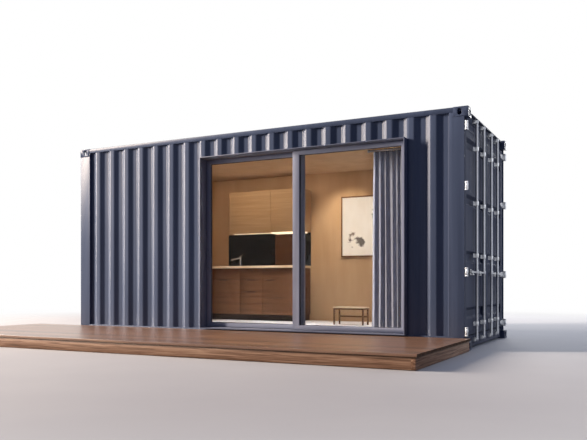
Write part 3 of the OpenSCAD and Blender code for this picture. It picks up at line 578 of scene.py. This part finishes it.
# Starts a tree with the points of a folded sheet: a level line bent in y to outer flats, slopes
# and inner flats. It also gives the way up to the head of the sheet
def startFoldTree(name, more=()):
    tree, given = startTree(name, {
        "Float": ["Start", "Step", "Crest", "Pitch", "Flat", "Slope", "Depth", "Height", *more],
        "Int": ["Columns", "Bend Rounds"]})
    line = addNode(tree, "GeometryNodeMeshLine", {
        "Count": given["Columns"], "Start Location": {"X": given["Start"]}, "Offset": {"X": given["Step"]}})
    point = addNode(tree, "GeometryNodeInputPosition", {})
    along = addNode(tree, "ShaderNodeSeparateXYZ", {"Vector": point})
    halfPitch, halfFlat = ("MULTIPLY", given["Pitch"], 0.5), ("MULTIPLY", given["Flat"], 0.5)
    sharp = addNode(tree, "ShaderNodeMapRange", {
        "Value": ("PINGPONG", ("SUBTRACT", along, given["Crest"]), halfPitch), "From Min": halfFlat,
        "From Max": ("ADD", halfFlat, given["Slope"]), "To Min": 0, "To Max": given["Depth"]})
    bent = addNode(tree, "GeometryNodeBlurAttribute", {
        "data_type": "FLOAT", "Value": sharp, "Iterations": given["Bend Rounds"]})
    folds = addNode(tree, "GeometryNodeSetPosition", {"Geometry": line, "Offset": {"Y": bent}})
    return tree, given, folds, {"Z": given["Height"]}


def makeFoldedSheetTree():
    tree, given, folds, up = startFoldTree("foldedSheet")
    sheet = addNode(tree, "GeometryNodeExtrudeMesh", {"mode": "EDGES", "Mesh": folds, "Offset": up})
    return endTree(tree, given, sheet)


# Weld beads along the foot and head of a folded sheet
def makeWeldBeadTree():
    tree, given, folds, up = startFoldTree("weldBeads", ["Bead"])
    path = addNode(tree, "GeometryNodeMeshToCurve", {"Mesh": folds})
    coarse = addNode(tree, "GeometryNodeResampleCurve", {"mode": "LENGTH", "Curve": path, "Length": 9 * mm})
    section = addNode(tree, "GeometryNodeCurvePrimitiveCircle", {"Resolution": 6, "Radius": given["Bead"]})
    bead = addNode(tree, "GeometryNodeCurveToMesh", {
        "Curve": coarse, "Profile Curve": section, "Fill Caps": True})
    levels = addNode(tree, "GeometryNodeMeshLine", {"Count": 2, "Offset": up})
    pair = addNode(tree, "GeometryNodeInstanceOnPoints", {"Points": levels, "Instance": bead})
    return endTree(tree, given, pair)


print("folded walls and their welds")
foldedWalls = {
    "sheet": 2 * mm, "column": 4 * mm, "bendRounds": 5, "bead": 3 * mm,
    "long": {"Crest": 635 * mm, "Pitch": 278 * mm, "Flat": 72 * mm, "Slope": 68 * mm, "Depth": 36 * mm},
    "end": {"Crest": 0.0, "Pitch": 250 * mm, "Flat": 110 * mm, "Slope": 18 * mm, "Depth": 45.6 * mm}}
foldedSheetTree, weldBeadTree = makeFoldedSheetTree(), makeWeldBeadTree()
mirrorY = Matrix.Diagonal((1, -1, 1, 1))
swapXY = Matrix(((0, 1, 0, 0), (1, 0, 0, 0), (0, 0, 1, 0), (0, 0, 0, 1)))
for node in ("front_wall_left", "front_wall_right", "front_wall_head", "back_wall", "blind_end_wall"):
    low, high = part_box(node)
    folds = foldedWalls["end" if node == "blind_end_wall" else "long"]
    start, length = low.x - blindEnd, high.x - low.x
    at = Matrix.Translation((blindEnd, low.y, low.z))
    if node == "back_wall":
        at = Matrix.Translation((blindEnd, high.y, low.z)) @ mirrorY
    if node == "blind_end_wall":
        start, length = low.y, high.y - low.y
        at = Matrix.Translation((low.x, 0, low.z)) @ swapXY
    columns = round(length / foldedWalls["column"]) + 1
    values = {
        **folds, "Start": start, "Step": length / (columns - 1), "Columns": columns,
        "Height": high.z - low.z, "Bend Rounds": foldedWalls["bendRounds"], "Bead": foldedWalls["bead"],
        "Finish": enamel}
    thick = ("SOLIDIFY", {"thickness": foldedWalls["sheet"], "offset": 1})
    standIn(node, creased(grow(foldedSheetTree, values, steps=[thick])), at=at)
    addPiece(pieceName(node) + "Welds", grow(weldBeadTree, values), "cabin", at=at)


# Boards side by side with rounded edges, each lying a hair lower or higher than the next
def makeBoardTree():
    tree, given = startTree("boards", {
        "Int": ["Boards", "Seed"], "Float": ["Pitch", "Width", "Length", "Thickness", "Arris", "Lift"]})
    section = addNode(tree, "GeometryNodeCurvePrimitiveQuadrilateral", {
        "Width": given["Width"], "Height": given["Thickness"]})
    rounded = addNode(tree, "GeometryNodeFilletCurve", {
        "mode": "POLY", "Curve": section, "Count": 3, "Radius": given["Arris"]})
    run = addNode(tree, "GeometryNodeCurvePrimitiveLine", {"End": {"X": given["Length"]}})
    board = addNode(tree, "GeometryNodeCurveToMesh", {
        "Curve": run, "Profile Curve": rounded, "Fill Caps": True})
    rows = addNode(tree, "GeometryNodeMeshLine", {
        "Count": given["Boards"], "Offset": {"Y": given["Pitch"]}})
    lift = addNode(tree, "FunctionNodeRandomValue", {
        "data_type": "FLOAT", 2: ("MULTIPLY", given["Lift"], -1), 3: 0.0, "Seed": given["Seed"]}).outputs[1]
    uneven = addNode(tree, "GeometryNodeSetPosition", {"Geometry": rows, "Offset": {"Z": lift}})
    placed = addNode(tree, "GeometryNodeInstanceOnPoints", {"Points": uneven, "Instance": board})
    return endTree(tree, given, placed)


# Bolt or screw heads on washers, one at each point of the seed mesh, turned at random on its axis
def makeFixingTree():
    tree, given = startTree("fixings", {
        "Int": ["Sides", "Seed"], "Float": ["Head Radius", "Head Height", "Washer Radius", "Washer Height"],
        "Vector": ["Facing"]})
    washer = addNode(tree, "GeometryNodeMeshCylinder", {
        "Vertices": 18, "Radius": given["Washer Radius"], "Depth": given["Washer Height"]})
    head = addNode(tree, "GeometryNodeMeshCone", {
        "Vertices": given["Sides"], "Radius Top": ("MULTIPLY", given["Head Radius"], 0.82),
        "Radius Bottom": given["Head Radius"], "Depth": given["Head Height"]})
    both = addNode(tree, "GeometryNodeJoinGeometry", {})
    tree.links.new(washer.outputs[0], both.inputs[0])
    tree.links.new(head.outputs[0], both.inputs[0])
    facing = addNode(tree, "FunctionNodeAlignRotationToVector", {"axis": "Z", "Vector": given["Facing"]})
    placed = addNode(tree, "GeometryNodeInstanceOnPoints", {
        "Points": given["Geometry"], "Instance": both, "Rotation": facing})
    turn = addNode(tree, "FunctionNodeRandomValue", {
        "data_type": "FLOAT", 2: 0.0, 3: math.pi, "Seed": given["Seed"]}).outputs[1]
    turned = addNode(tree, "GeometryNodeRotateInstances", {"Instances": placed, "Rotation": {"Z": turn}})
    return endTree(tree, given, turned, smooth=False)


def pointMesh(points):
    mesh = bpy.data.meshes.new("points")
    mesh.from_pydata(points, [], [])
    return mesh


print("deck")
boardTree, fixingTree = makeBoardTree(), makeFixingTree()
boardWidth = deckPitch - deckLayout["gap"]
boards = creased(grow(boardTree, {
    "Boards": deckLayout["boards"], "Pitch": deckPitch, "Width": boardWidth,
    "Length": deckHigh.x - deckLow.x, "Thickness": deckHigh.z - deckLow.z, "Arris": deckLayout["arris"],
    "Lift": deckLayout["lift"], "Seed": 4, "Finish": deckTimber}))
setFinishes(boards, deckTimber, endGrain, lambda polygon: abs(polygon.normal.x) > 0.9)
firstBoard = (deckLow.x, deckLow.y + boardWidth / 2, (deckLow.z + deckHigh.z) / 2)
standIn("deck_boards", boards, at=Matrix.Translation(firstBoard))


# A piece that is one board. It runs from its place along x, or up where it stands upright
def addBoard(name, place, size, finish, body="cabin", upright=False):
    length, width, thick, arris = size
    board = creased(grow(boardTree, {
        "Boards": 1, "Pitch": 0.0, "Width": width, "Length": length, "Thickness": thick, "Arris": arris,
        "Lift": 0.0, "Seed": 0, "Finish": finish}))
    at = Matrix.Translation(place)
    if upright:
        at = at @ Matrix.Rotation(math.radians(-90), 4, "Y")
    addPiece(name, board, body, at=at)


# Two stainless screws hold each board to each joist
screws = {
    "joists": 15, "joist": 45 * mm, "fromEdge": 24 * mm, "head": 4.6 * mm, "proud": 0.7 * mm, "rim": 1.1}
joistLow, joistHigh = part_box("deck_joists")
joistStep = (joistHigh.x - joistLow.x - screws["joist"]) / (screws["joists"] - 1)
screwPoints = [
    (joistLow.x + screws["joist"] / 2 + j * joistStep,
     deckLow.y + b * deckPitch + side, deckHigh.z - deckLayout["lift"])
    for j in range(screws["joists"]) for b in range(deckLayout["boards"])
    for side in (screws["fromEdge"], boardWidth - screws["fromEdge"])]
deckScrews = grow(fixingTree, {
    "Sides": 12, "Head Radius": screws["head"], "Head Height": screws["proud"],
    "Washer Radius": screws["head"] * screws["rim"], "Washer Height": screws["proud"], "Facing": (0, 0, 1),
    "Seed": 2, "Finish": galvanised}, seed=pointMesh(screwPoints))
addPiece("deckScrews", deckScrews, "cabin")

fasciaLow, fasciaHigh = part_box("deck_fascia")
fascia = {"sideBoard": 46 * mm, "edge": 3 * mm}


def isFrontBoard(face):
    across = face.calc_center_median().x
    return fasciaLow.x + fascia["sideBoard"] < across < fasciaHigh.x - fascia["sideBoard"]


# The side boards run from front to back, so their grain does too
addPiece("deckFrontBoard", roundedCopy("deck_fascia", fascia["edge"], isFrontBoard), "cabin",
         ["deck_fascia"], fasciaTimber)
sideBoards = roundedCopy("deck_fascia", fascia["edge"], lambda face: not isFrontBoard(face))
addPiece("deckSideBoards", sideBoards, "cabin", [], sideTimber)

print("bolts on the cargo doors")
boltPlaces = {
    "hinges": (0.230, 0.936, 1.957, 2.671), "guides": (0.300, 1.150, 1.800, 2.480), "handles": 0.940,
    "bars": (0.645, 0.235), "strap": ((0.105, 0.018), (0.105, -0.018), (0.190, 0.0)), "foot": 0.037,
    "catch": 0.210, "catchBolts": 0.02, "catchUp": 0.024, "leafFace": 60 * mm, "strapPlate": 12 * mm,
    "footPlate": 6 * mm, "catchPlate": 8 * mm}
boltHead = {"Sides": 6, "Head Radius": 8 * mm, "Head Height": 6 * mm, "Washer Radius": 11 * mm,
            "Washer Height": 4 * mm, "Facing": (1, 0, 0), "Finish": galvanised}
face = doorEnd - boltPlaces["leafFace"]
for body, side in (("front_leaf", -1), ("back_leaf", 1)):
    points = [
        (face + boltPlaces["strapPlate"], side * (backFace - fromSide), z + up)
        for z in boltPlaces["hinges"] for fromSide, up in boltPlaces["strap"]]
    for bar in boltPlaces["bars"]:
        points.extend(
            (face + boltPlaces["footPlate"], side * bar + foot * boltPlaces["foot"], z)
            for z in boltPlaces["guides"] for foot in (-1, 1))
        points.extend(
            (face + boltPlaces["catchPlate"],
             side * (bar + boltPlaces["catch"]) + across * boltPlaces["catchBolts"],
             boltPlaces["handles"] + boltPlaces["catchUp"]) for across in (-1, 1))
    bolts = grow(fixingTree, {**boltHead, "Seed": 3 + side}, seed=pointMesh(points))
    addPiece(pieceName(body) + "Bolts", bolts, body)

# A flat rubber lip covers the joint between the leaves. It is on the one that opens first
lip = {"width": 46 * mm, "thick": 3 * mm, "arris": 1 * mm, "clear": 1.5 * mm, "short": 15 * mm}
leafLow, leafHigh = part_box("back_leaf")
addBoard("backLeafLip", (leafHigh.x + lip["clear"] + lip["thick"] / 2, 0, leafLow.z + lip["short"]),
         (leafHigh.z - leafLow.z - 2 * lip["short"], lip["width"], lip["thick"], lip["arris"]),
         sealRubber, "back_leaf", upright=True)


# Loops of tube in a row along x or y. Each is drawn flat in its kind of loop, and then tilted up
def makeLoopTree(name, kind, settings, sizes, tilt, way):
    tree, given = startTree(name, {"Float": [*sizes, "Tube Radius", "Spacing"], "Int": ["Loops"]})
    loop = addNode(tree, kind, {**settings, **{size: given[size] for size in sizes}})
    section = addNode(tree, "GeometryNodeCurvePrimitiveCircle", {
        "Resolution": 8, "Radius": given["Tube Radius"]})
    flat = addNode(tree, "GeometryNodeCurveToMesh", {"Curve": loop, "Profile Curve": section})
    upright = addNode(tree, "GeometryNodeTransform", {"Geometry": flat, "Rotation": tilt})
    row = addNode(tree, "GeometryNodeMeshLine", {
        "Count": given["Loops"], "Offset": {way: given["Spacing"]}})
    placed = addNode(tree, "GeometryNodeInstanceOnPoints", {"Points": row, "Instance": upright})
    return endTree(tree, given, placed)


print("panes and their seals")
# A seal lies on both faces of a pane, all round its edge
seal = {"radius": 4 * mm, "inset": 2 * mm}
sealTree = makeLoopTree(
    "glazingSeals", "GeometryNodeCurvePrimitiveQuadrilateral", {}, ["Width", "Height"],
    (math.radians(90), 0, 0), "Y")
for node in ("fixed_glass", "sliding_glass"):
    pane = frame["nodes"][node].data
    pane.materials.clear()
    pane.materials.append(floatGlass)
    low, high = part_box(node)
    loops = grow(sealTree, {
        "Width": high.x - low.x - 2 * seal["inset"], "Height": high.z - low.z - 2 * seal["inset"],
        "Tube Radius": seal["radius"], "Loops": 2, "Spacing": high.y - low.y, "Finish": sealRubber})
    middle = ((low.x + high.x) / 2, low.y, (low.z + high.z) / 2)
    addPiece(pieceName(node) + "Seals", loops, bodyOf[node], at=Matrix.Translation(middle))

print("curtain")
curtain = {
    "columns": 230, "rows": 70, "folds": 5.6, "firstFold": 0.6, "swing": 24 * mm, "headSwing": 17 * mm,
    "opening": 2.5, "lean": 9 * mm, "cloth": 1.2 * mm, "headMargin": 34 * mm, "footMargin": 5 * mm,
    # Two noises, each with its rate across and down the cloth and a seed, and how strongly they act
    "drift": (3.1, 0.7, 4.7), "swell": (4.3, 0.5, 9.2), "wander": 2.6, "uneven": 0.6, "tallestBow": 1.18}
clothLow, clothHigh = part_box("curtain")
midY = (clothLow.y + clothHigh.y) / 2
clothWide, clothTall = clothHigh.x - clothLow.x, clothHigh.z - clothLow.z


# Where the cloth hangs at a place across its width, 0 to 1, and at a depth below its head, 0 to 1
def clothPoint(across, down):
    drift, swell = [
        noise.noise(Vector((across * wideRate, down * tallRate, seed)))
        for wideRate, tallRate, seed in (curtain["drift"], curtain["swell"])]
    phase = 2 * math.pi * curtain["folds"] * across + curtain["wander"] * drift + curtain["firstFold"]
    opened = min(1, down * curtain["opening"])
    deep = curtain["headSwing"] + (curtain["swing"] - curtain["headSwing"]) * opened
    deep *= 1 + curtain["uneven"] * swell
    # Two overtones make each fold uneven
    bow = math.sin(phase) + 0.14 * math.sin(3 * phase + 1.1) + 0.1 * math.sin(5 * phase + 7 * across)
    margin = curtain["headMargin"] + (curtain["footMargin"] - curtain["headMargin"]) * down
    inset = margin + curtain["lean"]
    x = clothLow.x + inset + (clothWide - 2 * inset) * across + curtain["lean"] * math.sin(2 * phase)
    return Vector((x, midY + deep * bow / curtain["tallestBow"], clothHigh.z - clothTall * down))


columns, rows = curtain["columns"], curtain["rows"]
clothMesh = gridMesh("curtain", columns, rows, clothPoint)
# The flat width is the length of the cloth's middle row
middleRow = [clothPoint(c / columns, rows // 2 / rows) for c in range(columns + 1)]
across = [0.0]
for here, there in zip(middleRow, middleRow[1:]):
    across.append(across[-1] + (there - here).length)
clothUv = clothMesh.uv_layers.new(name="cloth")
for loop in clothMesh.loops:
    r, c = divmod(loop.vertex_index, columns + 1)
    clothUv.data[loop.index].uv = (across[c], clothTall * (1 - r / rows))
thick = ("SOLIDIFY", {"thickness": curtain["cloth"], "offset": 0})
cloth = standIn("curtain", grow(seed=clothMesh, steps=[thick]), linen)

# Rings threaded on the rail, which runs along x
rings = {"count": 12, "radius": 17 * mm, "wire": 1.5 * mm, "hang": 4 * mm, "railZ": 2.52}
ringTree = makeLoopTree(
    "curtainRings", "GeometryNodeCurvePrimitiveCircle", {"Resolution": 24}, ["Radius"],
    (0, math.radians(90), 0), "X")
ringMesh = grow(ringTree, {
    "Radius": rings["radius"], "Tube Radius": rings["wire"], "Loops": rings["count"],
    "Spacing": clothWide / rings["count"], "Finish": drawnRail})
ringStart = (clothLow.x + clothWide / rings["count"] / 2, midY, rings["railZ"] - rings["hang"])
addPiece("curtainRings", ringMesh, "cabin", at=Matrix.Translation(ringStart))

print("room fittings")
# The table has a pale top on a dark frame
table = {"edge": 1.2 * mm, "top": 18.5 * mm}
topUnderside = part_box("side_table")[1].z - table["top"]
standIn("side_table", setFinishes(roundedCopy("side_table", table["edge"]), darkOak, paleOak,
                                  lambda polygon: polygon.center.z > topUnderside))

# Picture: a dark frame, and a canvas pulled round its stretcher, a touch hollow in the middle
picture = {
    "frame": 20 * mm, "frameEdge": 1.5 * mm, "gap": 1.5 * mm, "set": 5 * mm, "depth": 6 * mm,
    "canvasEdge": 2 * mm, "hollow": 1.5 * mm, "squares": 24}
addPiece("pictureFrame", roundedCopy("wall_picture", picture["frameEdge"]), "cabin",
         ["wall_picture"], darkOak)
pictureLow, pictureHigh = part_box("wall_picture")
inFrame = Vector((1, 0, 1)) * (picture["frame"] + picture["gap"])
canvasLow, canvasHigh = pictureLow + inFrame, pictureHigh - inFrame


# The canvas is hollow by the full depth in its middle, and not at its edges
def canvasPoint(across, up):
    sag = picture["hollow"] * 16 * across * (1 - across) * up * (1 - up)
    return (canvasLow.x + across * (canvasHigh.x - canvasLow.x), canvasLow.y + picture["set"] + sag,
            canvasLow.z + up * (canvasHigh.z - canvasLow.z))


canvasGrid = gridMesh("canvas", picture["squares"], picture["squares"], canvasPoint)
canvasMesh = grow(seed=canvasGrid, steps=[
    ("SOLIDIFY", {"thickness": picture["depth"], "offset": -1}), roundedEdges(picture["canvasEdge"])])
addPiece("canvas", canvasMesh, "cabin", [], makeCanvas(canvasLow, canvasHigh))

# The wall between the two black panels is faced with the base units' veneer
gapBoard = {"from": 2.212, "to": 2.598, "low": 1.104, "high": 1.656, "thick": 8 * mm, "arris": 1 * mm}
gapAt = (blindEnd + gapBoard["from"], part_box("back_lining_board")[0].y - gapBoard["thick"] / 2,
         (gapBoard["low"] + gapBoard["high"]) / 2)
gapSize = (gapBoard["to"] - gapBoard["from"], gapBoard["thick"], gapBoard["high"] - gapBoard["low"],
           gapBoard["arris"])
addBoard("splashGapBoard", gapAt, gapSize, walnutVeneer)

# Lights in opal covers under the wall cabinets: a strip set back under the wide flap, and a
# broader one along the front edge of the narrow flap
cabinetLow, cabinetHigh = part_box("wall_cabinets")
flapJoint = blindEnd + 2.305
underLights = {
    "lightStrip": {"from": cabinetLow.x + 15 * mm, "to": flapJoint - 12 * mm, "fromFront": 150 * mm,
                   "width": 18 * mm, "height": 9 * mm},
    "lightPanel": {"from": flapJoint + 6 * mm, "to": cabinetHigh.x - 10 * mm, "fromFront": 120 * mm,
                   "width": 225 * mm, "height": 22 * mm}}
for name, light in underLights.items():
    coverAt = (light["from"], cabinetLow.y + light["fromFront"], cabinetLow.z - light["height"] / 2)
    coverSize = (light["to"] - light["from"], light["width"], light["height"], 3 * mm)
    addBoard(name, coverAt, coverSize, diffuser)

# Rays that show something, straight on or in a mirror or pane, while others only carry light
seenKinds = ("Is Camera Ray", "Is Glossy Ray", "Is Transmission Ray")


# Pale studio floor that pales to white away from the cabin, so that it has no visible edge. It
# throws back less light than it shows, so that the folds keep their shade
def makeStudioFloor():
    look = {
        "near": "#c6c7ca", "cloud": "#c0c1c5", "bounce": "#5e626b", "size": 90, "fadeFrom": 6.0,
        "fadeTo": 12.5}
    material, tree, surface, place = startMaterial("studioFloor", {
        "Roughness": 0.75, "Specular IOR Level": 0.2})
    clouds = patches(tree, place, (1.5, 1.5, 1.5), {"Detail": 5})
    tone = addNode(tree, "ShaderNodeValToRGB", {
        "stops": [(0.3, look["cloud"]), (0.7, look["near"])], "Fac": clouds})
    away = addNode(tree, "ShaderNodeVectorMath", {"operation": "LENGTH", 0: place})
    far = addNode(tree, "ShaderNodeMapRange", {
        "interpolation_type": "SMOOTHSTEP", "Value": away.outputs["Value"], "From Min": look["fadeFrom"],
        "From Max": look["fadeTo"]})
    seen = raysOf(tree, *seenKinds)
    white = addNode(tree, "ShaderNodeEmission", {"Color": "#ffffff", "Strength": 1.0})
    lit = addNode(tree, "ShaderNodeMix", {"data_type": "RGBA", 0: seen, 6: look["bounce"], 7: tone})
    setNode(tree, surface, {"Base Color": lit.outputs[2]})
    both = addNode(tree, "ShaderNodeMixShader", {0: ("MULTIPLY", far, seen), 1: surface, 2: white})
    setNode(tree, tree.nodes["Material Output"], {"Surface": both})
    mesh = gridMesh("studioFloor", 1, 1, lambda across, along: (
        (across - 0.5) * look["size"], (along - 0.5) * look["size"], 0))
    mesh.materials.append(material)
    floor = bpy.data.objects.new("studioFloor", mesh)
    scene.collection.objects.link(floor)


print("floor, light and camera")
makeStudioFloor()

# The world is plain white where it is seen, and gives the object a low even light
daylight = {"ambient": 0.13, "tint": "#7aa0ff"}
world = bpy.data.worlds.new("studio")
scene.world = world
world.use_nodes = True
worldTree = world.node_tree
evenLight = addNode(worldTree, "ShaderNodeBackground", {
    "Color": daylight["tint"], "Strength": daylight["ambient"]})
backdrop = addNode(worldTree, "ShaderNodeBackground", {"Color": "#ffffff", "Strength": 1.0})
chosen = addNode(worldTree, "ShaderNodeMixShader", {
    0: raysOf(worldTree, *seenKinds), 1: evenLight, 2: backdrop})
setNode(worldTree, worldTree.nodes["World Output"], {"Surface": chosen})


# An area lamp, or a spot where it has no size. Lamps never show to the camera, and those in the
# room don't show in the glass either
def addLamp(name, inRoom, place, aim, size, watts, colour, options=None):
    data = bpy.data.lights.new(name, "AREA" if size else "SPOT")
    data.energy, data.color = watts, linear(colour)[:3]
    if size:
        data.shape = "RECTANGLE"
        data.size, data.size_y = size
    for option, value in (options or {}).items():
        setattr(data, option, value)
    lamp = bpy.data.objects.new(name, data)
    lamp.location = place
    lamp.rotation_euler = (Vector(aim) - Vector(place)).to_track_quat("-Z", "Y").to_euler()
    lamp.visible_camera = False
    if inRoom:
        lamp.visible_transmission = False
        lamp.visible_glossy = False
    scene.collection.objects.link(lamp)


# Each lamp: its place, what it is aimed at, its width and height, its watts and its colour
lamps = {
    # The upright key stands far to the left, so that its light rakes across the folds
    "key": ((-20.0, -11.1, 8.5), (0, -1.2, 1.4), (1.6, 9), 11200, "#ffecd9"),
    # A second upright lamp lies almost in line with the front, and catches the slopes alone
    "foldRake": ((-19.0, -4.2, 4.3), (0, -1.2, 1.0), (1.2, 8), 3600, "#fff0e2"),
    "doorEndFill": ((11.0, 2.0, 4.5), (3.0, 0, 1.4), (3.5, 3.5), 150, "#eef2ff"),
    "frontFill": ((1.5, -11.0, 6.0), (0, -1.2, 1.0), (6, 4), 20, "#eef3ff"),
    "backFill": ((2.0, 10.0, 6.0), (0, 1.2, 1.0), (5, 4), 600, "#ffffff")}
roomLamps = {
    "roomCeiling": ((-0.2, -0.1, 2.60), (-0.2, 0.2, 0), (3.6, 1.0), 22, "#ffe8cf"),
    "cabinetWash": ((-0.9, 0.25, 2.60), (-0.9, 1.0, 1.5), (1.6, 0.1), 4, "#ffe8cf"),
    "pictureSpot": ((0.56, 0.25, 2.60), (0.56, 1.11, 1.5), None, 58, "#fff3e4", {
        "spot_size": math.radians(80), "spot_blend": 0.8, "shadow_soft_size": 30 * mm}),
    "curtainRake": ((0.90, -1.06, 1.4), (1.95, -0.93, 1.4), (0.08, 2.3), 4, "#e9f0ff", {
        "spread": math.radians(70)}),
    "floorWash": ((0.2, 0.22, 2.60), (0.2, 0.22, 0), (3.6, 0.25), 46, "#e6edff", {
        "spread": math.radians(40)}),
    "underCabinets": ((-0.85, 0.92, 1.64), (-0.85, 1.0, 1.1), (1.3, 0.05), 1.0, "#ffe6c4")}
for name, look in {**lamps, **roomLamps}.items():
    addLamp(name, name in roomLamps, *look)

# The photograph's view: a level camera 0.79 m above the ground, turned 27 degrees to the left,
# with its frame raised so that the horizon lies low in it
view = {"place": (4.981, -9.529, 0.79), "turn": 27.13, "focal": 704.7, "frame": 587, "horizonDrop": 64.4}
cameraData = bpy.data.cameras.new("camera")
cameraData.sensor_width = 36
cameraData.lens = view["focal"] / view["frame"] * cameraData.sensor_width
cameraData.shift_y = view["horizonDrop"] / view["frame"]
camera = bpy.data.objects.new("camera", cameraData)
camera.location = view["place"]
camera.rotation_euler = (math.radians(90), 0, math.radians(view["turn"]))
scene.collection.objects.link(camera)
scene.camera = camera
scene.view_settings.view_transform = "Standard"
